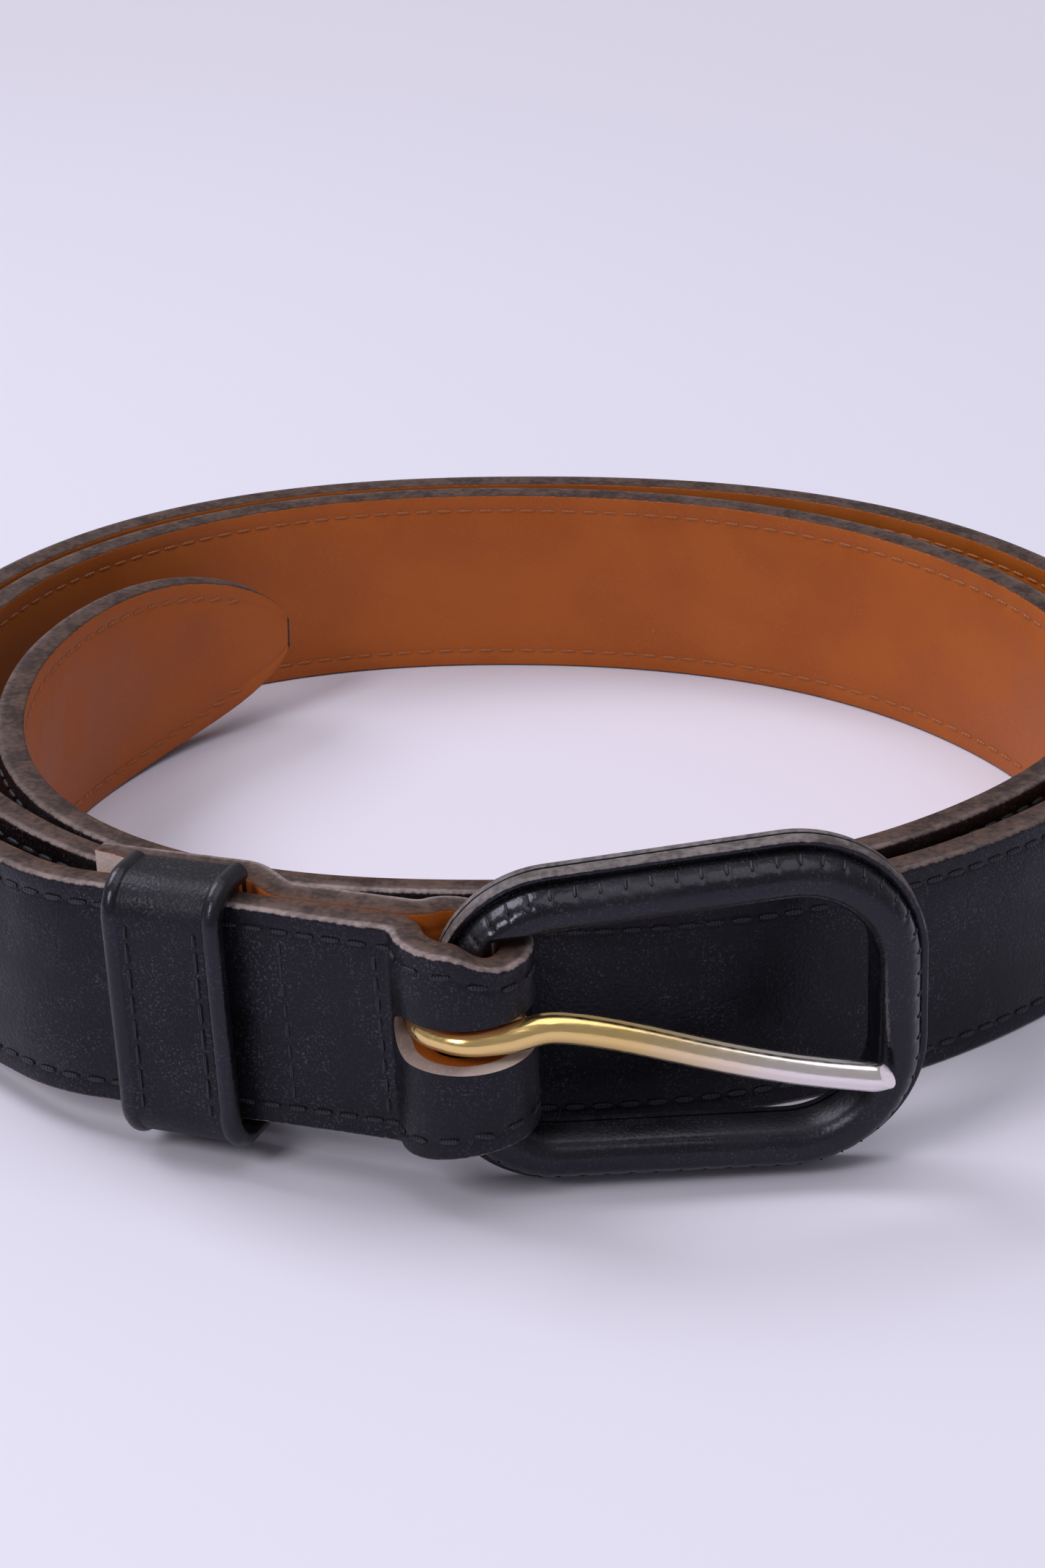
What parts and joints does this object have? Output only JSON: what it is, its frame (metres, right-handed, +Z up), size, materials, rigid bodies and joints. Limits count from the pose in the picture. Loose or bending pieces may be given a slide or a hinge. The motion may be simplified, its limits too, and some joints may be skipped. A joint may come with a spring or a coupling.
{
  "type": "leather belt",
  "caption": "Gentleman's black leather dress belt with tan lining, coiled on its lower edge, with a leather-covered ring buckle, metal prong and sliding keeper loop.",
  "frame": {"origin": "on the table below the middle of the coiled belt", "axes": "+Z up, the strap standing on its lower edge; -Y towards the buckle, which hangs in front of the coil; +X along the front stretch from keeper to buckle"},
  "size_m": [0.162, 0.1671, 0.0402],
  "materials": {
    "black_leather": "finely grained black dress leather with a soft sheen",
    "tan_leather": "smooth tan lining leather",
    "backing_leather": "black leather with a bare grey-brown cut edge",
    "thread": "black sewing thread",
    "core_metal": "plain steel, covered by the leather",
    "prong_metal": "polished pale gold plating, silvery towards the tip"
  },
  "bodies": {
    "strap": {"strap_outer_leather": "black_leather", "strap_lining": "tan_leather", "upper_edge_stitching": "thread", "lower_edge_stitching": "thread", "turn_back_stitching": "thread"},
    "keeper": {"keeper_lining": "tan_leather", "keeper_band": "black_leather", "keeper_rims": "black_leather", "keeper_stitching": "thread"},
    "buckle": {"buckle_backing": "backing_leather", "buckle_core": "core_metal", "buckle_cover": "black_leather", "buckle_stitching": "thread"},
    "prong": {"prong": "prong_metal"}
  },
  "joints": [
    {"name": "buckle_hinge", "type": "hinge", "parent": "strap", "child": "buckle", "pos_m": [-0.0072, -0.07545, 0.0196], "axis": [0.0384, 0.0578, -0.9976], "range_deg": [-15, 25]},
    {"name": "prong_hinge", "type": "hinge", "parent": "buckle", "child": "prong", "pos_m": [-0.0072, -0.07545, 0.0196], "axis": [0.0384, 0.0578, -0.9976], "range_deg": [0, 55]},
    {"name": "keeper_slide", "type": "slide", "parent": "strap", "child": "keeper", "axis": [0.9259, -0.3741, 0.0523], "range_m": [-0.003, 0]}
  ]
}
